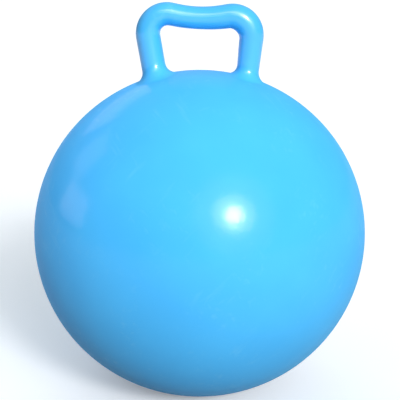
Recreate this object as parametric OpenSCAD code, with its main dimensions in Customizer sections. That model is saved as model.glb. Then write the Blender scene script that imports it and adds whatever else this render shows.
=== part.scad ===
// A hopper ball: an inflated ball with a loop handle on top and a plugged filling valve at the back.
// Z is up from the floor at z = 0, the handle lies in the XZ plane and the valve looks along +Y.
// Lengths are in millimetres and angles in degrees.

/* [Ball] */
// width of the ball across its middle
ball_w = 450; // [400:5:600]
// how much lower the ball is than it is wide
ball_sag = 6; // [2:0.5:16]
// thickness of the ball's wall
wall = 1.3; // [0.8:0.1:3]
// radius of the flat patch that the ball stands on
rest_r = 28; // [16:1:45]

/* [Handle] */
// diameter of the handle tube at its legs and corners
tube_d = 31.5; // [26:0.5:38]
// diameter of the handle tube at the middle of the grip
grip_d = 29.5; // [26:0.5:38]
// thickness of the tube's wall
tube_wall = 3; // [1.5:0.25:5]
// width of the loop between the centre lines of its legs, at the widest
loop_w = 135.5; // [120:0.5:170]
// height of the grip's centre line above the crown of the ball
grip_rise = 69; // [60:0.5:110]
// angle at which the grip falls from each corner towards its middle
grip_dip = 10.5; // [3:0.5:16]
// angle of each leg off the vertical
leg_flare = 7.5; // [0:0.5:14]
// inside radius of the two corners
corner_in_r = 10.5; // [4:0.5:14]
// radius of the fillet between a leg and the ball
root_r = 12; // [6:0.5:15]

/* [Valve] */
// bore of the valve seat
bore_d = 8; // [6.5:0.25:11]
// thickness of the bush around the bore
bush_wall = 4; // [2.5:0.25:6]
// depth of the bush from the outside of the ball
seat_l = 18; // [14:0.5:26]
// how far the head of the plug reaches past the bore
head_lip = 3; // [2:0.25:5]
// thickness of the head of the plug
head_t = 2.4; // [1.6:0.1:4]
// space around the head for a fingertip
mouth_gap = 2; // [1:0.25:4]
// width of the rim around the mouth of the seat
seat_lip = 1.5; // [0.75:0.25:3]
// thickness of the seat under the head of the plug
floor_t = 2; // [1:0.25:4]
// width of the flange that holds the seat to the inside of the wall
flange_w = 8; // [4:0.5:14]
// thickness of the flange at its edge
flange_t = 2; // [1.2:0.1:4]
// length of the plug's stem
stem_l = 21; // [17:0.5:30]
// number of sealing rings on the stem
ring_count = 4; // [2:1:5]

/* [Hidden] */
// space between pieces that are bonded together
bond_gap = 0.1;
// radial clearance of the sealing rings in the bore
plug_fit = 0.05;
// how far the head of the plug lies below the surface of the ball
head_sink = 0.4;
// depth of the groove between two sealing rings
ring_depth = 0.6;
// overrun of every cut
cut = 1;
// share of the stem's length that tapers to the tip
taper_share = 0.22;
// the tip's share of the stem's radius
tip_share = 0.7;
// shares of the tip's radius and of the stem's length that are cored out
core_shares = [0.6, 0.7];
// places along a sealing ring from its step to the end of its slope, in shares of the pitch of the rings
ring_shares = [0.15, 0.15, 0.3, 0.7];
// how high the ring stands at those places, in shares of its full depth
rise_shares = [0, 1, 1, 0];
// steps of the loft around the tube
tube_steps = 28;
// steps of the loft along a fillet
root_steps = 6;
// steps of the loft around a corner
corner_steps = 11;
// steps of the loft along half of the grip
grip_steps = 4;
// steps around the rim of the plug's head
rim_steps = 8;

// outline of the ball: a side arc and two crown arcs, whose centres and meeting point make a 3-4-5 triangle
half_w = ball_w / 2;
arc_unit = ball_sag / 4;
side_x = 3 * arc_unit;
side_r = half_w - side_x;
crown_drop = 4 * arc_unit;
crown_r = side_r + 5 * arc_unit;
crown_z = crown_r - crown_drop;
crown_centre = [0, 0, -crown_drop];
rest_z = sqrt(pow(crown_r, 2) - pow(rest_r, 2)) - crown_drop;

// centre line of the handle, from the centre of the ball
tube_r = tube_d / 2;
corner_r = corner_in_r + tube_r;
corner_x = loop_w / 2 - corner_r;
grip_x = corner_x - corner_r * sin(grip_dip);
grip_r = grip_x / sin(grip_dip);
grip_z = crown_z + grip_rise;
corner_z = grip_z + grip_r * (1 - cos(grip_dip)) - corner_r * cos(grip_dip);
leg_up = [sin(leg_flare), 0, cos(leg_flare)];
leg_out = [cos(leg_flare), 0, -sin(leg_flare)];
leg_head = [corner_x, 0, corner_z] + corner_r * leg_out;
leg_foot = settle(leg_head, 0);

// valve, along its own axis from the centre of the ball
bore_r = bore_d / 2;
bush_r = bore_r + bush_wall;
head_r = bore_r + head_lip;
mouth_r = head_r + mouth_gap;
neck_r = mouth_r + seat_lip;
flange_r = neck_r + flange_w;
head_y = half_w - head_sink - head_t;
bush_y = half_w - seat_l;
flange_y = side_x + sqrt(pow(side_r - wall, 2) - pow(flange_r, 2)) - flange_t;
stem_r = bore_r - plug_fit - ring_depth;
tip_r = stem_r * tip_share;
core_r = tip_r * core_shares[0];
core_y = stem_l * (core_shares[1] - 1);
taper_y = stem_l * (taper_share - 1);
ring_pitch = -taper_y / ring_count;

$fn = 256;

// direction out of the ball's crown at a point
function crown_out(p) = (p - crown_centre) / norm(p - crown_centre);

// a point moved down the leg on the +X side until it is a distance off the ball's crown
function settle(p, gap, steps = 12) =
    steps == 0 ? p :
    settle(p - leg_up * (norm(p - crown_centre) - crown_r - gap), gap, steps - 1);

// direction a share of the way from one unit vector to another
function between(a, b, share) =
    let (angle = acos(a * b))
    (a * sin(angle * (1 - share)) + b * sin(angle * share)) / sin(angle);

// directions out of the leg, all around it
function spokes(out) = [
    for (i = [0 : tube_steps - 1])
        out * cos(360 * i / tube_steps) + [0, sin(360 * i / tube_steps), 0]
];

// ring of the tube about a place on the centre line
function ring(p, out, r) = [for (spoke = spokes(out)) p + spoke * r];

// ring of the fillet, which a ball that touches leg and skin leaves: share 0 on the leg and 1 on the skin
function root_ring(share) = [
    for (spoke = spokes(leg_out))
        let (c = settle(leg_head + spoke * (tube_r + root_r), root_r + bond_gap))
        c - between(spoke, crown_out(c), share) * root_r
];

// ring of the tube's inside where it meets the skin
function mouth_ring() = [
    for (spoke = spokes(leg_out)) settle(leg_head + spoke * (tube_r - tube_wall), bond_gap)
];

// ring on the skin halfway between two others
function seat_ring(a, b) = [
    for (i = [0 : tube_steps - 1]) crown_centre + crown_out((a[i] + b[i]) / 2) * (crown_r + bond_gap)
];

// rings around a corner and along half of the grip, drawn in from the tube's surface by a distance
function loop_rings(inset) = concat(
    [for (i = [0 : corner_steps])
        let (angle = -leg_flare + (90 + grip_dip + leg_flare) * i / corner_steps)
        let (out = [cos(angle), 0, sin(angle)])
        ring([corner_x, 0, corner_z] + corner_r * out, out, tube_r - inset)],
    [for (i = [1 : grip_steps])
        let (angle = grip_dip * (1 - i / grip_steps))
        let (out = [-sin(angle), 0, cos(angle)])
        let (r = tube_r + (grip_d / 2 - tube_r) * (1 - cos(180 * i / grip_steps)) / 2)
        ring([0, 0, grip_z + grip_r] - grip_r * out, out, r - inset)]
);

function mirrored(rings) = [for (r = rings) [for (p = r) [-p.x, p.y, p.z]]];
function reversed(list) = [for (i = [len(list) - 1 : -1 : 0]) list[i]];
function all_but_last(list) = [for (i = [0 : len(list) - 2]) list[i]];

// half of the ball's section, drawn in from its surface by a distance and cut off level at its foot
module ball_section(inset) {
    join_y = (side_r - inset) * 4 / 5;
    intersection() {
        union() {
            intersection() {
                translate([side_x, 0]) circle(side_r - inset);
                translate([0, -join_y]) square([ball_w, 2 * join_y]);
            }
            for (flip = [0, 1])
                mirror([0, flip])
                    translate([0, -crown_drop])
                        intersection() {
                            circle(crown_r - inset);
                            polygon(ball_w * [[0, 0], [3 / 5, 4 / 5], [3 / 5, 1], [0, 1]]);
                        }
        }
        translate([0, inset - rest_z]) square([ball_w, 2 * ball_w]);
    }
}

// draws from the centre of the ball
module at_centre() {
    translate([0, 0, rest_z]) children();
}

// draws along the axis of the valve from the centre of the ball
module at_valve() {
    at_centre() rotate([-90, 0, 0]) children();
}

module ball_skin() {
    color([0.1, 0.5, 0.95])
        difference() {
            at_centre()
                rotate_extrude()
                    difference() {
                        ball_section(0);
                        ball_section(wall);
                    }
            for (side = [0, 1])
                mirror([side, 0, 0])
                    at_centre()
                        translate(leg_foot)
                            rotate([0, leg_flare, 0])
                                cylinder(r = tube_r - tube_wall, h = tube_d, center = true);
            at_valve()
                translate([0, 0, half_w])
                    cylinder(r = neck_r + bond_gap, h = 2 * seat_l, center = true);
        }
}

// one closed loft: the outside from foot to foot, then back through the inside
module handle_loop() {
    outside = concat([for (i = [root_steps : -1 : 0]) root_ring(i / root_steps)], loop_rings(0));
    inside = concat([mouth_ring()], loop_rings(tube_wall));
    seat = seat_ring(outside[0], inside[0]);
    rings = concat(
        all_but_last(outside), reversed(mirrored(outside)), mirrored([seat]),
        all_but_last(mirrored(inside)), reversed(inside), [seat]
    );
    count = len(rings);
    color([0.12, 0.55, 0.97])
        at_centre()
            polyhedron(
                points = [for (r = rings) for (p = r) p],
                faces = [
                    for (i = [0 : count - 1], k = [0 : tube_steps - 1])
                        let (j = (i + 1) % count, m = (k + 1) % tube_steps)
                        [i * tube_steps + k, i * tube_steps + m, j * tube_steps + m, j * tube_steps + k]
                ]
            );
}

module valve_seat() {
    color([0.08, 0.42, 0.85])
        at_valve()
            rotate_extrude()
                difference() {
                    union() {
                        intersection() {
                            translate([0, side_x]) circle(side_r);
                            translate([0, head_y - floor_t]) square([neck_r, seat_l]);
                        }
                        intersection() {
                            translate([0, side_x]) circle(side_r - wall - bond_gap);
                            translate([0, flange_y]) square([flange_r, seat_l]);
                        }
                        translate([0, bush_y]) square([bush_r, head_y - bush_y]);
                    }
                    translate([0, head_y]) square([mouth_r, seat_l]);
                    translate([0, bush_y - cut]) square([bore_r, seat_l]);
                }
}

module valve_plug() {
    rim = [for (i = [0 : rim_steps]) let (angle = 90 - 180 * i / rim_steps)
        [head_r - head_t / 2 + head_t / 2 * cos(angle), head_t / 2 + head_t / 2 * sin(angle)]];
    rings = [for (i = [0 : ring_count - 1], k = [0 : len(ring_shares) - 1])
        [stem_r + ring_depth * rise_shares[k], -ring_pitch * (i + ring_shares[k])]];
    tip = [[stem_r, taper_y], [tip_r, -stem_l], [core_r, -stem_l], [core_r, core_y], [0, core_y]];
    color([0.94, 0.94, 0.92])
        at_valve()
            translate([0, 0, head_y])
                rotate_extrude()
                    polygon(concat([[0, head_t]], rim, [[stem_r, 0]], rings, tip));
}

ball_skin();
handle_loop();
valve_seat();
valve_plug();
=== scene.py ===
"""Dresses the hopper ball: moulded skin and handle, valve, white floor, soft light and a camera."""
import itertools
import math

import bpy
import numpy as np
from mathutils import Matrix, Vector


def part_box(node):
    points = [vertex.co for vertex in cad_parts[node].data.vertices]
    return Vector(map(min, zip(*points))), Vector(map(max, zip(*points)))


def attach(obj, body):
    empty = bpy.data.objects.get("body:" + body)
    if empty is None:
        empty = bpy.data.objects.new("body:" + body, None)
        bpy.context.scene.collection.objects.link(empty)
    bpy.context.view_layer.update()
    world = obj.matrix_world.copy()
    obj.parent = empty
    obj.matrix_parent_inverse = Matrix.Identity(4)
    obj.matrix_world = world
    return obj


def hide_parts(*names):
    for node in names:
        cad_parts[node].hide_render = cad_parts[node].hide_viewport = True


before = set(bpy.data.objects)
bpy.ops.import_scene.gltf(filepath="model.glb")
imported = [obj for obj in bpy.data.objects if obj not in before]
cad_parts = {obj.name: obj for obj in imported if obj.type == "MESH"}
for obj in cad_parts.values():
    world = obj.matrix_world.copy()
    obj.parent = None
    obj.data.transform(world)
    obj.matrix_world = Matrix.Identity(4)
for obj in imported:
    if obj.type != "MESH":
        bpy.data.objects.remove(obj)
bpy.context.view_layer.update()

# Lengths are in millimetres in the ball's own frame: the origin is the centre of the ball and +Z is up.
MM = 0.001
TINY = 1e-9
PLUG_LOW, PLUG_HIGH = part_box("valve_plug")
SEAT_LOW, SEAT_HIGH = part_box("valve_seat")
CENTRE_Z = (PLUG_LOW[2] + PLUG_HIGH[2]) / 2 / MM
CROWN_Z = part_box("ball_skin")[1][2] / MM - CENTRE_Z

# Oval of the ball: a side arc and two crown arcs, as in the solids.
HALF_W = 225.0
SIDE_X = 4.5
SIDE_R = HALF_W - SIDE_X
CROWN_DROP = 6.0
CROWN_R = CROWN_Z + CROWN_DROP
CROWN_SLOPE = SIDE_X / CROWN_DROP
REST_BLEND = 1.0

# Handle: its centre line in the XZ plane, left then right, with the small skew of the moulding.
CORNER_X = (-42.0, 40.9)
CORNER_RISE = (49.0, 44.5)
CORNER_R = (25.5, 27.0)
LEG_FLARE = (math.radians(9.5), math.radians(5.7))
LEG_L = 80.0
LEG_TAPER_L = 60.0
GRIP_R = 199.5
# Tube radii at nine stations from the left: foot, leg head, elbow, grip end, grip middle, and in reverse.
TUBE_R = (15.7, 15.9, 15.3, 14.7, 14.5, 15.6, 16.8, 15.7, 13.7)
# Fillets at the feet, left then right: towards the hand gap, away from it, and to the front and back.
FOOT_X = (-61.0, 61.0)
ROOT_INNER_R = (15.0, 14.0)
ROOT_OUTER_R = (11.5, 13.0)
ROOT_FRONT_R = (21.0, 16.0)
# Box that holds the handle and its fillets: its reach along X and Y, and how far it goes below the crown.
LOOP_REACH = (130.0, 70.0)
LOOP_DROP = 60.0

# Parting line of the mould, all round in the plane of the loop.
SEAM_H = 0.15
SEAM_W = 0.8
SEAM_FADE = 30.0

# Skin mesh: cell sizes, where the cells are fine, and the rows that follow the parting line.
COARSE = 4.5
FINE = 2.5
MARGIN = 12.0
FINE_X = 85.0
FINE_Y = 36.0
FINE_DROP = 24.0
HANDLE_TOP = 110.0
SEAM_ROWS = (0.35, 1.05, 1.9, 3.4)
# Rounds and steps that bring the mesh onto the skin and even it out.
SLOPE_STEP = 0.05
SETTLE_ROUNDS = 2
SMOOTH_ROUNDS = 8
SMOOTH_SHARE = 0.6
SNAP_ROUNDS = 6
SNAP_LEAST = 0.05
FOOT_ROUNDS = 3
RING_ROUNDS = 4

# Valve, along +Y from the centre of the ball: its bush.
NECK_R = 10.45
MOUTH_R = 9.0
MOUTH_Y = 222.2
BORE_R = 4.0
BORE_CHAMFER = 0.5
BUSH_R = 8.0
BUSH_Y = SEAT_LOW[1] / MM
LIP_Y = SEAT_HIGH[1] / MM
FLANGE_R = 18.5
FLANGE_Y = 220.92
FLANGE_TOP = 222.75
# Its plug.
HEAD_R = 7.0
HEAD_Y = PLUG_HIGH[1] / MM
HEAD_DISH = 0.4
DISH_SHARES = (0.72, 0.5)
STEM_R = 3.35
RING_R = 3.95
RING_PITCH = 4.095
RING_COUNT = 4
TIP_R = 2.35
TIP_Y = PLUG_LOW[1] / MM
CORE_R = 1.41
CORE_Y = 215.9
CORE_POINT = 0.4
# Easing of their edges, from crisp to round.
CRISP = 0.2
SMALL = 0.3
SOFT = 0.5
ROUND = 0.8
CORE_EASE = 0.25
LIP_EASES = (0.45, 0.6)
MOUTH_EASE = 0.7
# Corners of a sealing ring, from its slope to its step: share of the pitch, radius and easing.
RING_CORNERS = ((0.7, STEM_R, 0.3), (0.3, RING_R, 0.3), (0.15, RING_R, 0.12), (0.15, STEM_R, 0.1))
# Opening for the valve in the skin: the print of the flange, the rim, and a hidden pocket for the bush.
PRINT_H = 0.3
PRINT_SOFT = 0.8
WALL = 1.3
OPENING_R = 10.6
RIM_R = 0.5
RIM_STEPS = 4
POCKET_R = 19.4
POCKET_Y = 198.0
SKIN_RINGS = (22.0, 21.0, 20.2, 19.6, 19.1, 18.6, 18.1, 17.5, 16.5, 15.0, 13.0, 12.0, 11.5)
# Cut in the mesh around it, which widens by steps until its edge is one clean ring.
CUT_R = 24.0
CUT_STEP = 0.25
CUT_TRIES = 16
# Steps around the valve's axis, and along an eased edge.
RING_STEPS = 72
RING_TURNS = np.arange(RING_STEPS) * 2 * math.pi / RING_STEPS
EASE_STEPS = 5


def arc_stretch(p, centre, radius, start, end):
    """Distance in the XZ plane to an arc that faces the points, and the share of the arc passed there."""
    x = p[..., 0] - centre[0]
    z = p[..., 2] - centre[1]
    turn = end - start
    off = (np.arctan2(z, x) - (start + end) / 2 + math.pi) % (2 * math.pi) - math.pi
    share = off / turn + 0.5
    gap = np.abs(np.hypot(x, z) - radius)
    faces = (share >= 0) & (share <= 1)
    return np.where(faces, gap, np.inf), np.clip(share, 0, 1)


def leg_stretch(p, head, down):
    """Distance in the XZ plane to a leg, and the share of its taper passed there."""
    q = np.stack([p[..., 0], p[..., 2]], axis=-1) - head
    below = np.clip(q @ down, 0, LEG_L)
    gap = np.linalg.norm(q - below[..., None] * down, axis=-1)
    return gap, np.clip(below / LEG_TAPER_L, 0, 1)


def grip_centre(corners):
    """Centre of the arc of the grip, which touches both corner arcs from above."""
    across = corners[1] - corners[0]
    span = np.linalg.norm(across)
    ex = across / span
    ey = np.array([-ex[1], ex[0]])
    reach = [GRIP_R + r for r in CORNER_R]
    along = (reach[0] ** 2 - reach[1] ** 2 + span ** 2) / (2 * span)
    return corners[0] + ex * along + ey * math.sqrt(reach[0] ** 2 - along ** 2)


def angle_to(a, b):
    """Angle of the way from one point to another in the XZ plane."""
    return math.atan2(b[1] - a[1], b[0] - a[0])


CORNERS = [np.array([x, CROWN_Z + rise]) for x, rise in zip(CORNER_X, CORNER_RISE)]
GRIP = grip_centre(CORNERS)
LEG_TURN = (math.pi + LEG_FLARE[0], -LEG_FLARE[1])
LEG_HEAD = [c + r * np.array([math.cos(a), math.sin(a)]) for c, r, a in zip(CORNERS, CORNER_R, LEG_TURN)]
LEG_DOWN = [np.array([-s * math.sin(f), -math.cos(f)]) for s, f in zip((-1, 1), LEG_FLARE)]


def tube_radius(station):
    """Tube radius along the handle, eased from one station to the next."""
    values = np.array(TUBE_R)
    pull = np.gradient(values)
    k = np.clip(station.astype(int), 0, len(values) - 2)
    t = station - k
    start = (1 + 2 * t) * (1 - t) ** 2 * values[k] + t * (1 - t) ** 2 * pull[k]
    end = t ** 2 * (3 - 2 * t) * values[k + 1] + t ** 2 * (t - 1) * pull[k + 1]
    return start + end


def handle_stretches(p):
    """Distance to each stretch of the centre line in the XZ plane, with the station there, 0 to 8."""
    gap, share = leg_stretch(p, LEG_HEAD[0], LEG_DOWN[0])
    yield gap, 1 - share
    gap, share = arc_stretch(p, CORNERS[0], CORNER_R[0], LEG_TURN[0], angle_to(CORNERS[0], GRIP))
    yield gap, 1 + 2 * share
    gap, share = arc_stretch(p, GRIP, GRIP_R, angle_to(GRIP, CORNERS[0]), angle_to(GRIP, CORNERS[1]))
    yield gap, 3 + 2 * share
    gap, share = arc_stretch(p, CORNERS[1], CORNER_R[1], angle_to(CORNERS[1], GRIP), LEG_TURN[1])
    yield gap, 5 + 2 * share
    gap, share = leg_stretch(p, LEG_HEAD[1], LEG_DOWN[1])
    yield gap, 7 + share


def tube_distance(p):
    """Signed distance from points to the handle's surface."""
    rows = [np.hypot(gap, p[..., 1]) - tube_radius(u) for gap, u in handle_stretches(p)]
    return np.minimum.reduce(rows)


def oval_distance(p):
    """Signed distance from points to the ball's oval, before it stands on the floor."""
    rho = np.hypot(p[..., 0], p[..., 1])
    z = np.abs(p[..., 2])
    crown = np.hypot(rho, z + CROWN_DROP) - CROWN_R
    side = np.hypot(rho - SIDE_X, z) - SIDE_R
    return np.where(rho < CROWN_SLOPE * (z + CROWN_DROP), crown, side)


def ball_distance(p):
    """Signed distance to the ball standing on its contact patch, with a soft edge around the patch."""
    oval = oval_distance(p)
    floor = -CENTRE_Z - p[..., 2]
    h = np.maximum(REST_BLEND - np.abs(oval - floor), 0) / REST_BLEND
    return np.maximum(oval, floor) + h * h * REST_BLEND / 4


def root_radius(p):
    """Fillet radius at the feet, by side and by the way round the foot."""
    right = p[..., 0] > 0
    off = p[..., 0] - np.where(right, FOOT_X[1], FOOT_X[0])
    front = p[..., 1] ** 2 / (off ** 2 + p[..., 1] ** 2 + TINY)
    inner_r = np.where(right, ROOT_INNER_R[1], ROOT_INNER_R[0])
    outer_r = np.where(right, ROOT_OUTER_R[1], ROOT_OUTER_R[0])
    front_r = np.where(right, ROOT_FRONT_R[1], ROOT_FRONT_R[0])
    side_r = np.where((off > 0) == right, outer_r, inner_r)
    return side_r + (front_r - side_r) * front


def raised(p):
    """Height of the parting line, and of the print of the valve's flange under the skin."""
    fade = np.clip((p[..., 2] + CENTRE_Z) / SEAM_FADE, 0, 1)
    seam = SEAM_H * fade * np.exp(-(p[..., 1] / SEAM_W) ** 2)
    rho = np.hypot(p[..., 0], p[..., 2])
    flange = PRINT_H / 2 * (1 - np.tanh((rho - FLANGE_R) / PRINT_SOFT))
    return seam + np.where(p[..., 1] > 0, flange, 0)


def near_loop(p):
    """Which points lie in the box that holds the handle and its fillets."""
    beside = (np.abs(p[..., 0]) < LOOP_REACH[0]) & (np.abs(p[..., 1]) < LOOP_REACH[1])
    return beside & (p[..., 2] > CROWN_Z - LOOP_DROP)


def skin_distance(p):
    """Signed distance to the whole moulding: ball and handle joined by round fillets."""
    out = ball_distance(p)
    near = near_loop(p)
    tube = tube_distance(p[near])
    ball = out[near]
    root = root_radius(p[near])
    ease = np.hypot(np.maximum(root - ball, 0), np.maximum(root - tube, 0))
    out[near] = np.maximum(root, np.minimum(ball, tube)) - ease
    return out - raised(p)


def foot_distance(p):
    """Below zero on the handle and its fillets, above zero on the ball."""
    return tube_distance(p) - root_radius(p)


def gradient(field, p):
    """Gradient of a field at points, by differences."""
    g = np.empty_like(p)
    for axis in range(3):
        d = np.zeros(3)
        d[axis] = SLOPE_STEP
        g[:, axis] = (field(p + d) - field(p - d)) / (2 * SLOPE_STEP)
    return g


def slope(p):
    """Unit direction out of the skin."""
    g = gradient(skin_distance, p)
    return g / np.linalg.norm(g, axis=1)[:, None]


def settle(p):
    """Points moved onto the skin."""
    for _ in range(SETTLE_ROUNDS):
        p = p - slope(p) * skin_distance(p)[:, None]
    return p


def surface_nets(values, axes):
    """Points and quads around the zero level of values on a grid."""
    inside = values < 0
    shape = np.array(values.shape) - 1
    offsets = list(itertools.product((0, 1), repeat=3))
    count = np.zeros(shape, int)
    for o in offsets:
        count += inside[tuple(slice(o[k], o[k] + shape[k]) for k in range(3))]
    cells = np.argwhere((count > 0) & (count < len(offsets)))
    index = np.full(shape, -1)
    index[tuple(cells.T)] = np.arange(len(cells))
    total = np.zeros((len(cells), 3))
    hits = np.zeros(len(cells))
    for a, b in itertools.combinations(offsets, 2):
        if sum(abs(i - j) for i, j in zip(a, b)) != 1:
            continue
        ia, ib = cells + a, cells + b
        va, vb = values[tuple(ia.T)], values[tuple(ib.T)]
        cross = (va < 0) != (vb < 0)
        pa = np.stack([axes[k][ia[:, k]] for k in range(3)], axis=1)
        pb = np.stack([axes[k][ib[:, k]] for k in range(3)], axis=1)
        share = np.where(cross, va / np.where(cross, va - vb, 1), 0)[:, None]
        total += np.where(cross[:, None], pa + (pb - pa) * share, 0)
        hits += cross
    quads = [net_quads(inside, index, axis) for axis in range(3)]
    return total / hits[:, None], np.concatenate(quads)


def net_quads(inside, index, axis):
    """Quads around the grid edges along one axis that pass through the surface."""
    u, v = (axis + 1) % 3, (axis + 2) % 3
    low = [slice(None)] * 3
    high = [slice(None)] * 3
    low[axis], high[axis] = slice(0, -1), slice(1, None)
    edges = np.argwhere(inside[tuple(low)] != inside[tuple(high)])
    ring = []
    for du, dv in ((0, 0), (-1, 0), (-1, -1), (0, -1)):
        cell = edges.copy()
        cell[:, u] += du
        cell[:, v] += dv
        ring.append(index[tuple(cell.T)])
    quads = np.stack(ring, axis=1)
    flip = ~inside[tuple(edges.T)]
    quads[flip] = quads[flip][:, ::-1]
    return quads


def relax(points, quads, rounds, held):
    """Evens out the quads along the skin, apart from the points that are held."""
    a = quads.ravel()
    b = np.roll(quads, -1, axis=1).ravel()
    count = len(points)
    degree = np.bincount(a, minlength=count) + np.bincount(b, minlength=count)
    on_seam = np.abs(points[:, 1]) < SEAM_ROWS[-1]
    for _ in range(rounds):
        mean = np.zeros_like(points)
        for k in range(3):
            mean[:, k] = np.bincount(a, points[b, k], count) + np.bincount(b, points[a, k], count)
        step = SMOOTH_SHARE * (mean / degree[:, None] - points)
        step[on_seam, 1] = 0
        step[held] = 0
        points = settle(points + step)
    return points


def graded(low, high, fine_low, fine_high):
    """Grid lines from low to high, closer together in the fine stretch."""
    before = np.arange(fine_low, low - COARSE, -COARSE)[:0:-1]
    middle = np.linspace(fine_low, fine_high, int(round((fine_high - fine_low) / FINE)) + 1)
    after = np.arange(fine_high, high + COARSE, COARSE)[1:]
    return np.concatenate([before, middle, after])


def grid_axes():
    """Grid lines along x, y and z."""
    reach = HALF_W + MARGIN
    top = CROWN_Z + HANDLE_TOP
    x = graded(-reach, reach, -FINE_X, FINE_X)
    z = graded(-CENTRE_Z - MARGIN, top, CROWN_Z - FINE_DROP, top)
    near = np.arange(SEAM_ROWS[-1] + FINE, FINE_Y, FINE)
    half = np.concatenate([SEAM_ROWS, near, np.arange(near[-1] + COARSE, reach + COARSE, COARSE)])
    return [x, np.concatenate([-half[::-1], half]), z]


def snap_to_foot(points):
    """Points moved along the skin onto the line where the fillets of the feet run out."""
    for _ in range(SNAP_ROUNDS):
        n = slope(points)
        g = gradient(foot_distance, points)
        g -= n * np.sum(g * n, axis=1)[:, None]
        step = foot_distance(points) / np.maximum(np.sum(g * g, axis=1), SNAP_LEAST)
        points = settle(points - g * step[:, None])
    return points


def skin_grid():
    """The whole moulding as an even mesh of quads, and which quads belong to the handle."""
    axes = grid_axes()
    grid = np.stack(np.meshgrid(*axes, indexing="ij"), axis=-1)
    points, quads = surface_nets(skin_distance(grid), axes)
    held = np.zeros(len(points), bool)
    points = relax(points, quads, SMOOTH_ROUNDS, held)
    centres = points[quads].mean(axis=1)
    on_handle = near_loop(centres) & (foot_distance(centres) < 0)
    held[np.intersect1d(quads[on_handle], quads[~on_handle])] = True
    points[held] = snap_to_foot(points[held])
    return relax(points, quads, FOOT_ROUNDS, held), quads, on_handle


def as_faces(quads):
    """Rows of an array as a list of faces."""
    return [tuple(map(int, q)) for q in quads]


def open_edges(faces):
    """Edges that only one face has, in that face's direction."""
    edges = {(f[k], f[(k + 1) % len(f)]) for f in faces for k in range(len(f))}
    return sorted(e for e in edges if (e[1], e[0]) not in edges)


def walk_rings(edges):
    """Closed rings of points along open edges."""
    after = dict(edges)
    rings = []
    while after:
        start = min(after)
        ring = [start]
        at = after.pop(start)
        while at != start:
            ring.append(at)
            at = after.pop(at)
        rings.append(ring)
    return rings


def cap(points, faces):
    """Closes the open ends with hidden fans, so that a piece is a solid."""
    for ring in walk_rings(open_edges(faces)):
        middle = len(points)
        points = np.vstack([points, points[ring].mean(axis=0)])
        for a, b in zip(ring, ring[1:] + ring[:1]):
            faces.append((b, a, middle))
    return points, faces


def compact(points, faces):
    """Only the points that the faces use, the faces renumbered, and the old numbers of the points."""
    used = sorted({v for f in faces for v in f})
    number = {v: k for k, v in enumerate(used)}
    return points[used], [tuple(number[v] for v in f) for f in faces], used


def valve_angle(points):
    """Angle around the valve, seen from outside."""
    return np.arctan2(points[:, 2], -points[:, 0]) % (2 * math.pi)


def ring_points(radius, depth=0.0, y=None):
    """A ring around the valve: at a depth under the skin, or at a height along the axis."""
    out = np.full(RING_STEPS, HALF_W if y is None else y)
    ring = np.stack([-radius * np.cos(RING_TURNS), out, radius * np.sin(RING_TURNS)], axis=1)
    if y is None:
        for _ in range(RING_ROUNDS):
            ring[:, 1] -= skin_distance(ring)
        ring[:, 1] -= depth
    return ring


def zip_rings(outer, outer_turn, inner, inner_turn):
    """Triangles between two rings of points, both in order of their angle."""
    faces = []
    i = j = 0
    n, m = len(outer), len(inner)
    while i < n or j < m:
        next_outer = outer_turn[(i + 1) % n] + 2 * math.pi * ((i + 1) // n)
        next_inner = inner_turn[(j + 1) % m] + 2 * math.pi * ((j + 1) // m)
        if j >= m or (i < n and next_outer <= next_inner):
            faces.append((outer[i % n], outer[(i + 1) % n], inner[j % m]))
            i += 1
        else:
            faces.append((outer[i % n], inner[(j + 1) % m], inner[j % m]))
            j += 1
    return faces


def cut_valve(points, quads):
    """Faces without those around the valve, and the ring of points left there in order of angle."""
    rho = np.hypot(points[:, 0], points[:, 2])
    for k in range(CUT_TRIES):
        inside = (rho < CUT_R + CUT_STEP * k) & (points[:, 1] > 0)
        faces = as_faces(quads[~inside[quads].any(axis=1)])
        rings = [r for r in walk_rings(open_edges(faces)) if (points[r, 1] > HALF_W / 2).all()]
        ring = rings[0][::-1]
        turn = valve_angle(points[ring])
        first = int(np.argmin(turn))
        ring = ring[first:] + ring[:first]
        turn = np.roll(turn, -first)
        if len(rings) == 1 and (np.diff(turn) > 0).all():
            return faces, ring, turn
    raise RuntimeError("no clean ring around the valve")


def open_valve(points, quads):
    """Ball with an opening for the valve: print of the flange, rounded rim, and a pocket for the bush."""
    faces, ring, turn = cut_valve(points, quads)
    rings = [ring_points(r) for r in SKIN_RINGS]
    skin_end = len(points) + RING_STEPS * len(rings)
    for k in range(1, RIM_STEPS + 1):
        a = math.pi / 2 * k / RIM_STEPS
        rings.append(ring_points(OPENING_R + RIM_R - RIM_R * math.sin(a), RIM_R * (1 - math.cos(a))))
    rings.append(ring_points(OPENING_R, WALL))
    rings.append(ring_points(POCKET_R, WALL))
    rings.append(ring_points(POCKET_R, y=POCKET_Y))
    first = len(points)
    points = np.vstack([points] + rings + [[[0, POCKET_Y, 0]]])
    steps = [[first + RING_STEPS * r + k for k in range(RING_STEPS)] for r in range(len(rings))]
    faces += zip_rings(ring, turn, steps[0], RING_TURNS)
    for k in range(RING_STEPS):
        n = (k + 1) % RING_STEPS
        for outer, inner in zip(steps, steps[1:]):
            faces.append((outer[k], outer[n], inner[n], inner[k]))
        faces.append((steps[-1][k], steps[-1][n], len(points) - 1))
    return points, faces, skin_end


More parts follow.
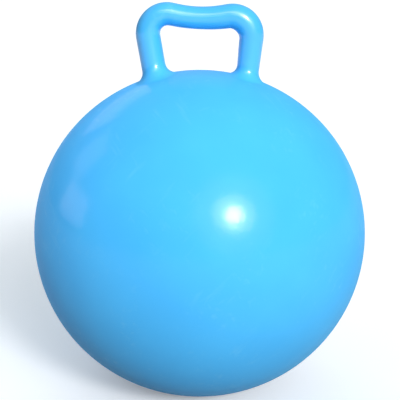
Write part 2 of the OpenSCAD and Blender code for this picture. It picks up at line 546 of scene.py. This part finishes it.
def soften(profile):
    """Profile of (radius, height, ease) corners, each eased by its own length into a small curve."""
    out = []
    for k, (r, y, ease) in enumerate(profile):
        here = np.array([r, y])
        before = np.array(profile[k - 1][:2]) - here
        after = np.array(profile[(k + 1) % len(profile)][:2]) - here
        a = here + before / np.linalg.norm(before) * ease
        b = here + after / np.linalg.norm(after) * ease
        for t in np.linspace(0, 1, EASE_STEPS):
            out.append((1 - t) ** 2 * a + 2 * t * (1 - t) * here + t ** 2 * b)
    return np.array(out)


def profile_normals(profile, closed):
    """Directions out of a profile, each weighted towards the longer of its two neighbours."""
    along = np.roll(profile, -1, axis=0) - profile
    side = np.stack([along[:, 1], -along[:, 0]], axis=1)
    if not closed:
        side[-1] = 0
    total = side + np.roll(side, 1, axis=0)
    return total / np.maximum(np.linalg.norm(total, axis=1), TINY)[:, None]


def lathe(profile, closed):
    """A profile of (radius, height) turned around the valve's axis: points, faces and normals."""
    around = np.stack([-np.cos(RING_TURNS), np.sin(RING_TURNS)], axis=1)
    points, normals, rows = [], [], []
    for (r, y), (nr, ny) in zip(profile, profile_normals(profile, closed)):
        tip = r < TINY
        rows.append([len(points) + (0 if tip else k) for k in range(RING_STEPS)])
        for k in range(1 if tip else RING_STEPS):
            points.append((r * around[k, 0], y, r * around[k, 1]))
            normals.append((0, ny, 0) if tip else (nr * around[k, 0], ny, nr * around[k, 1]))
    faces = []
    following = rows[1:] + rows[:1] if closed else rows[1:]
    for a, b in zip(rows, following):
        for k in range(RING_STEPS):
            n = (k + 1) % RING_STEPS
            # A row on the axis is one point, so its faces are triangles.
            faces.append(tuple(dict.fromkeys((a[k], a[n], b[n], b[k]))))
    return np.array(points), faces, np.array(normals)


def bush_profile():
    """Bush of the valve: bore, sleeve, flange under the wall, neck through it, lip and mouth."""
    return soften([
        (BORE_R + BORE_CHAMFER, MOUTH_Y, CRISP), (BORE_R, MOUTH_Y - BORE_CHAMFER, CRISP),
        (BORE_R, BUSH_Y, SMALL), (BUSH_R, BUSH_Y, ROUND), (BUSH_R, FLANGE_Y, ROUND),
        (FLANGE_R, FLANGE_Y, SOFT), (FLANGE_R, FLANGE_TOP, SOFT), (NECK_R, FLANGE_TOP, SMALL),
        (NECK_R, LIP_Y, LIP_EASES[0]), (MOUTH_R, LIP_Y, LIP_EASES[1]), (MOUTH_R, MOUTH_Y, MOUTH_EASE)])


def plug_profile():
    """Push-in plug: tapered tip with a core hole, ringed stem, dished head with a rounded rim."""
    corners = [(CORE_R, CORE_Y, SOFT), (CORE_R, TIP_Y, CORE_EASE), (TIP_R, TIP_Y, SOFT)]
    for k in reversed(range(RING_COUNT)):
        top = MOUTH_Y - RING_PITCH * k
        corners += [(r, top - share * RING_PITCH, ease) for share, r, ease in RING_CORNERS]
    corners += [(STEM_R, MOUTH_Y, CRISP), (HEAD_R, MOUTH_Y, SOFT), (HEAD_R, HEAD_Y, ROUND),
                (DISH_SHARES[0] * HEAD_R, HEAD_Y, SOFT), (DISH_SHARES[1] * HEAD_R, HEAD_Y - HEAD_DISH, SOFT)]
    return np.vstack([[0, CORE_Y + CORE_POINT], soften(corners), [0, HEAD_Y - HEAD_DISH]])


def add_object(name, data):
    """A new object in the scene."""
    item = bpy.data.objects.new(name, data)
    bpy.context.collection.objects.link(item)
    return item


def add_mesh(name, points, faces, normals):
    """A smooth mesh object from points in the ball's frame; a zero normal leaves it to Blender."""
    mesh = bpy.data.meshes.new(name)
    placed = (np.asarray(points) + [0, 0, CENTRE_Z]) * MM
    mesh.from_pydata(placed.tolist(), [], faces)
    mesh.polygons.foreach_set("use_smooth", [True] * len(mesh.polygons))
    mesh.update()
    mesh.normals_split_custom_set_from_vertices(np.asarray(normals).tolist())
    return add_object(name, mesh)


def skin_normals(points, count):
    """Normals of the skin for the first points, and none for the hidden rest."""
    normals = np.zeros_like(points)
    normals[:count] = slope(points[:count])
    return normals


def add_skin():
    """The moulding in its two pieces, which meet along the feet of the handle."""
    points, quads, on_handle = skin_grid()
    ball_points, faces, skin_end = open_valve(points, quads[~on_handle])
    ball_points, faces = cap(ball_points, faces)
    ball_points, faces, used = compact(ball_points, faces)
    shown = sum(v < skin_end for v in used)
    ball = add_mesh("moulded_ball", ball_points, faces, skin_normals(ball_points, shown))
    handle_points, faces, used = compact(points, as_faces(quads[on_handle]))
    handle_points, faces = cap(handle_points, faces)
    handle = add_mesh("moulded_handle", handle_points, faces, skin_normals(handle_points, len(used)))
    return ball, handle


# Node helpers. A Mix node has its A, B and result at these places, for numbers and for colours.
MIX_NUMBERS = (2, 3, 0)
MIX_COLOURS = (6, 7, 2)
# Detail of a noise, and the range in which most of it lies.
NOISE_DETAIL = 2.0
NOISE_LOW = 0.3
NOISE_HIGH = 0.7


def new_material(name):
    """A node material with its tree and main shader."""
    material = bpy.data.materials.new(name)
    material.use_nodes = True
    return material, material.node_tree, material.node_tree.nodes["Principled BSDF"]


def object_coords(tree):
    """Coordinates in the object's own frame, in metres."""
    return tree.nodes.new("ShaderNodeTexCoord").outputs["Object"]


def drawn_out(tree, coords, turn, stretch):
    """Coordinates that draw a texture out along a turned X axis; the turn is in degrees."""
    node = tree.nodes.new("ShaderNodeMapping")
    node.vector_type = "TEXTURE"
    node.inputs["Rotation"].default_value = [math.radians(a) for a in turn]
    node.inputs["Scale"].default_value = (stretch, 1, 1)
    tree.links.new(coords, node.inputs["Vector"])
    return node.outputs["Vector"]


def height_in(tree, coords):
    """The Z of coordinates."""
    node = tree.nodes.new("ShaderNodeSeparateXYZ")
    tree.links.new(coords, node.inputs[0])
    return node.outputs["Z"]


def noise(tree, coords, size, detail=NOISE_DETAIL):
    """Noise with features of about a size in millimetres."""
    node = tree.nodes.new("ShaderNodeTexNoise")
    node.inputs["Scale"].default_value = 1 / (size * MM)
    node.inputs["Detail"].default_value = detail
    tree.links.new(coords, node.inputs["Vector"])
    return node.outputs["Fac"]


def spread(tree, value, low, high, start=NOISE_LOW, end=NOISE_HIGH):
    """A value brought from the range start to end to the range low to high."""
    node = tree.nodes.new("ShaderNodeMapRange")
    node.inputs["From Min"].default_value = start
    node.inputs["From Max"].default_value = end
    node.inputs["To Min"].default_value = low
    node.inputs["To Max"].default_value = high
    tree.links.new(value, node.inputs["Value"])
    return node.outputs["Result"]


def combine(tree, operation, a, b):
    """Two numbers brought together by a math operation."""
    node = tree.nodes.new("ShaderNodeMath")
    node.operation = operation
    tree.links.new(a, node.inputs[0])
    tree.links.new(b, node.inputs[1])
    return node.outputs[0]


def mix_value(tree, share, low, high):
    """A number between two, by a share."""
    a, b, result = MIX_NUMBERS
    node = tree.nodes.new("ShaderNodeMix")
    tree.links.new(share, node.inputs["Factor"])
    tree.links.new(low, node.inputs[a])
    tree.links.new(high, node.inputs[b])
    return node.outputs[result]


def mix_colour(tree, share, low, high):
    """A colour between two, by a share; either may be a colour or a socket."""
    a, b, result = MIX_COLOURS
    node = tree.nodes.new("ShaderNodeMix")
    node.data_type = "RGBA"
    tree.links.new(share, node.inputs["Factor"])
    for place, colour in ((a, low), (b, high)):
        if isinstance(colour, tuple):
            node.inputs[place].default_value = (*colour, 1)
        else:
            tree.links.new(colour, node.inputs[place])
    return node.outputs[result]


def bump(tree, height, depth, under=None):
    """A bump of a depth in millimetres, over another one."""
    node = tree.nodes.new("ShaderNodeBump")
    node.inputs["Strength"].default_value = 1.0
    node.inputs["Distance"].default_value = depth * MM
    tree.links.new(height, node.inputs["Height"])
    if under is not None:
        tree.links.new(under, node.inputs["Normal"])
    return node.outputs["Normal"]


# Colours of the moulding, with the size and detail of its cloudy tone.
BLUE_DEEP = (0.052, 0.48, 0.96)
BLUE_PALE = (0.06, 0.515, 0.995)
CLOUDS = (90.0, 3.0)
# Faint scuffs, drawn out in two directions and gathered in patches.
SCUFF_COLOUR = (0.16, 0.62, 1.0)
SCUFF_LEVEL = 0.26
SCUFF_SIZE = 8.0
SCUFF_STRETCH = 8.0
SCUFF_STEP = (0.58, 0.78)
SCUFF_TURNS = ((0.0, -45.0, 20.0), (0.0, 25.0, -60.0))
SCUFF_PATCH = 70.0
SCUFF_PATCH_STEP = (0.48, 0.6)
# Gloss of the moulding: dull under a thin coat on the ball, and glossier on the handle.
BALL_COAT = 0.115
HANDLE_COAT = 0.3
PVC_COAT_ROUGH = 0.16
PVC_COAT_IOR = 2.4
PVC_IOR = 1.5
PVC_SHEEN = 0.45
BALL_ROUGH = (0.92, 1.0)
HANDLE_ROUGH = (0.38, 0.44)
# Size and detail of the uneven gloss, and the heights over the crown between which ball turns to handle.
WEAR = (25.0, 4.0)
GLOSS_STEP = (-16.0, 12.0)
# Soft waves, dimples and orange peel: size, detail and depth.
PVC_BUMPS = ((110.0, 1.0, 0.8), (9.0, 2.0, 0.15), (0.8, 1.0, 0.004))


def handle_share(tree, coords):
    """Zero on the ball and one on the handle, with a soft step at the feet."""
    low, high = ((CENTRE_Z + CROWN_Z + rise) * MM for rise in GLOSS_STEP)
    return spread(tree, height_in(tree, coords), 0, 1, low, high)


def scuffs(tree, coords):
    """Sparse streaks of wear in patches: zero on clean skin, up to the strength of a scuff."""
    streaks = []
    for turn in SCUFF_TURNS:
        drawn = drawn_out(tree, coords, turn, SCUFF_STRETCH)
        streaks.append(spread(tree, noise(tree, drawn, SCUFF_SIZE), 0, SCUFF_LEVEL, *SCUFF_STEP))
    patches = spread(tree, noise(tree, coords, SCUFF_PATCH), 0, 1, *SCUFF_PATCH_STEP)
    return combine(tree, "MULTIPLY", combine(tree, "MAXIMUM", *streaks), patches)


def pvc_material():
    """Glossy soft PVC: uneven in tone, faintly scuffed, wavy and with an orange peel from the mould."""
    material, tree, shader = new_material("moulded_pvc")
    coords = object_coords(tree)
    colour = mix_colour(tree, spread(tree, noise(tree, coords, *CLOUDS), 0, 1), BLUE_DEEP, BLUE_PALE)
    colour = mix_colour(tree, scuffs(tree, coords), colour, SCUFF_COLOUR)
    tree.links.new(colour, shader.inputs["Base Color"])
    worn = noise(tree, coords, *WEAR)
    on_handle = handle_share(tree, coords)
    rough = mix_value(tree, on_handle, spread(tree, worn, *BALL_ROUGH), spread(tree, worn, *HANDLE_ROUGH))
    tree.links.new(rough, shader.inputs["Roughness"])
    tree.links.new(spread(tree, on_handle, BALL_COAT, HANDLE_COAT, 0, 1), shader.inputs["Coat Weight"])
    normal = None
    for size, detail, depth in PVC_BUMPS:
        normal = bump(tree, noise(tree, coords, size, detail), depth, normal)
    tree.links.new(normal, shader.inputs["Normal"])
    tree.links.new(normal, shader.inputs["Coat Normal"])
    shader.inputs["IOR"].default_value = PVC_IOR
    shader.inputs["Specular IOR Level"].default_value = PVC_SHEEN
    shader.inputs["Coat Roughness"].default_value = PVC_COAT_ROUGH
    shader.inputs["Coat IOR"].default_value = PVC_COAT_IOR
    return material


# Satin plastic of the valve: size and detail of its tone and gloss, and the depth of its grain.
SATIN_TONE = (6.0, 3.0)
SATIN_WEAR = (2.0, 3.0)
SATIN_DEPTH = 0.02
# Bush and plug: two colours, range of roughness and size of the grain.
BUSH_SATIN = ((0.04, 0.37, 0.8), (0.05, 0.42, 0.88), (0.32, 0.44), 0.6)
PLUG_SATIN = ((0.82, 0.82, 0.79), (0.88, 0.88, 0.85), (0.34, 0.46), 0.8)


def satin_material(name, low, high, rough, grain):
    """Satin moulded plastic with a fine grain and a slightly uneven tone."""
    material, tree, shader = new_material(name)
    coords = object_coords(tree)
    colour = mix_colour(tree, spread(tree, noise(tree, coords, *SATIN_TONE), 0, 1), low, high)
    tree.links.new(colour, shader.inputs["Base Color"])
    tree.links.new(spread(tree, noise(tree, coords, *SATIN_WEAR), *rough), shader.inputs["Roughness"])
    normal = bump(tree, noise(tree, coords, grain), SATIN_DEPTH)
    tree.links.new(normal, shader.inputs["Normal"])
    return material


# The four pieces, each on its body and in place of its node.
ball, handle = add_skin()
bush = add_mesh("valve_bush_ring", *lathe(bush_profile(), True))
plug = add_mesh("push_plug", *lathe(plug_profile(), False))

pvc = pvc_material()
ball.data.materials.append(pvc)
handle.data.materials.append(pvc)
bush.data.materials.append(satin_material("bush_pvc", *BUSH_SATIN))
plug.data.materials.append(satin_material("plug_plastic", *PLUG_SATIN))

PIECES = (
    (ball, "ball", "ball_skin", "skin"),
    (handle, "ball", "handle_loop", "handle"),
    (bush, "ball", "valve_seat", "valve_bush"),
    (plug, "plug", "valve_plug", "plug"))
for piece, body, node, slot in PIECES:
    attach(piece, body)
    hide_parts(node)

# Camera: at the photograph's angle, with the ball's centre at its place in the picture.
CAM_ELEVATION = math.radians(17.0)
CAM_DISTANCE = 1300.0
CAM_FOCAL_PX = 940.4
BALL_PX = (199.6, 232.0)
FRAME_PX = 400
SENSOR = 36.0
# How far it sees, in metres.
CAM_SIGHT = 100.0


def add_camera():
    """Camera that looks at the ball from the front and a little above."""
    data = bpy.data.cameras.new("camera")
    data.sensor_width = SENSOR
    data.lens = CAM_FOCAL_PX / FRAME_PX * SENSOR
    data.clip_end = CAM_SIGHT
    camera = add_object("camera", data)
    side = (FRAME_PX / 2 - BALL_PX[0]) * CAM_DISTANCE / CAM_FOCAL_PX
    back = CAM_DISTANCE * math.cos(CAM_ELEVATION)
    up = CENTRE_Z + CAM_DISTANCE * math.sin(CAM_ELEVATION)
    camera.location = Vector((side, -back, up)) * MM
    below = math.atan((BALL_PX[1] - FRAME_PX / 2) / CAM_FOCAL_PX)
    camera.rotation_euler = (math.pi / 2 - CAM_ELEVATION + below, 0, 0)
    bpy.context.scene.camera = camera


# Floor, with half its width in metres: white to the camera and in reflections, and a dark grey to the
# light that it throws back on the object.
FLOOR_HALF = 20.0
FLOOR_SEEN = (0.9, 0.9, 0.9)
FLOOR_THROWN = (0.15, 0.15, 0.15)
FLOOR_LIFT = 0.2
FLOOR_ROUGH = 0.9


def add_floor():
    """White floor that keeps the object's shadow."""
    s = FLOOR_HALF
    mesh = bpy.data.meshes.new("floor")
    mesh.from_pydata([(-s, -s, 0), (s, -s, 0), (s, s, 0), (-s, s, 0)], [], [(0, 1, 2, 3)])
    floor = add_object("floor", mesh)
    material, tree, shader = new_material("floor_white")
    path = tree.nodes.new("ShaderNodeLightPath")
    seen = path.outputs["Is Camera Ray"]
    for kind in ("Is Glossy Ray", "Is Transmission Ray"):
        seen = combine(tree, "MAXIMUM", seen, path.outputs[kind])
    tree.links.new(mix_colour(tree, seen, FLOOR_THROWN, FLOOR_SEEN), shader.inputs["Base Color"])
    shader.inputs["Roughness"].default_value = FLOOR_ROUGH
    shader.inputs["Specular IOR Level"].default_value = 0.0
    shader.inputs["Emission Color"].default_value = (1, 1, 1, 1)
    tree.links.new(spread(tree, seen, 0, FLOOR_LIFT, 0, 1), shader.inputs["Emission Strength"])
    floor.data.materials.append(material)


# Light: a soft key from the front right with a bright middle, a wide fill from behind that doesn't show in
# the gloss, a few pale cards, and a dim room that is brighter above.
KEY_FROM = (0.378, -0.804, 0.459)
KEY_DISCS = ((11.5, 0.5), (27.0, 0.33), (54.0, 0.26))
FILL_FROM = (-0.1, 0.93, 0.35)
FILL_DISC = (70.0, 0.3)
# Cards that light the ball alone, as soft patches in its gloss, and one for the gloss of the handle alone,
# a line along its grip: azimuth, elevation, width and height in degrees, and radiance.
CARDS = {
    "left_card": (-96.0, 12.0, 26.0, 15.0, 2.7),
    "upper_card": (-111.0, 31.0, 17.0, 21.0, 1.5),
    "back_card": (-151.0, 31.0, 30.0, 17.0, 2.4)}
GRIP_CARD = (-4.0, 47.0, 24.0, 12.0, 2.7)
# How far the cards stand from the ball's centre, in metres.
CARD_DISTANCE = 2.5
CARD_COLOUR = (1.0, 0.8, 0.95)
ROOM_LOW = 0.13
ROOM_HIGH = 0.46
ROOM_COLOUR = (0.8, 0.96, 1.1)


def add_sun(name, way, angle, level):
    """Soft sun from a direction: the width of its disc in degrees, and its level on a surface facing it."""
    data = bpy.data.lights.new(name, "SUN")
    data.angle = math.radians(angle)
    data.energy = level * math.pi
    lamp = add_object(name, data)
    lamp.rotation_euler = Vector(way).to_track_quat("Z", "Y").to_euler()
    return lamp


def add_suns():
    """Key of soft suns in one direction, from narrow to wide, and a wide fill from behind."""
    for angle, level in KEY_DISCS:
        add_sun("key", KEY_FROM, angle, level)
    fill = add_sun("fill", FILL_FROM, *FILL_DISC)
    fill.visible_glossy = False


def card_side(angle):
    """Width of a card that fills an angle in degrees, seen from the ball's centre."""
    return 2 * CARD_DISTANCE * math.tan(math.radians(angle / 2))


def add_card(name, piece, azimuth, elevation, width, height, radiance):
    """Soft light card in a direction from the ball, which lights one piece alone."""
    data = bpy.data.lights.new(name, "AREA")
    data.shape = "RECTANGLE"
    data.size = card_side(width)
    data.size_y = card_side(height)
    data.energy = radiance * math.pi * data.size * data.size_y
    data.color = CARD_COLOUR
    lamp = add_object(name, data)
    lamp.visible_camera = False
    a, e = math.radians(azimuth), math.radians(elevation)
    way = Vector((math.sin(a) * math.cos(e), -math.cos(a) * math.cos(e), math.sin(e)))
    lamp.location = way * CARD_DISTANCE + Vector((0, 0, CENTRE_Z * MM))
    lamp.rotation_euler = way.to_track_quat("Z", "Y").to_euler()
    lit = bpy.data.collections.new(name)
    lit.objects.link(piece)
    lamp.light_linking.receiver_collection = lit
    return lamp


def add_cards():
    """Cards for the ball, and one for the gloss of the handle."""
    for name, values in CARDS.items():
        add_card(name, ball, *values)
    strip = add_card("grip_card", handle, *GRIP_CARD)
    strip.visible_diffuse = False


def add_room():
    """Dim light from all round, by height: brighter from above."""
    world = bpy.data.worlds.new("room")
    bpy.context.scene.world = world
    world.use_nodes = True
    tree = world.node_tree
    way = tree.nodes.new("ShaderNodeTexCoord").outputs["Generated"]
    sky = tree.nodes["Background"]
    sky.inputs["Color"].default_value = (*ROOM_COLOUR, 1)
    tree.links.new(spread(tree, height_in(tree, way), ROOM_LOW, ROOM_HIGH, -1, 1), sky.inputs["Strength"])


add_camera()
add_floor()
add_suns()
add_cards()
add_room()
bpy.context.scene.view_settings.view_transform = "Standard"
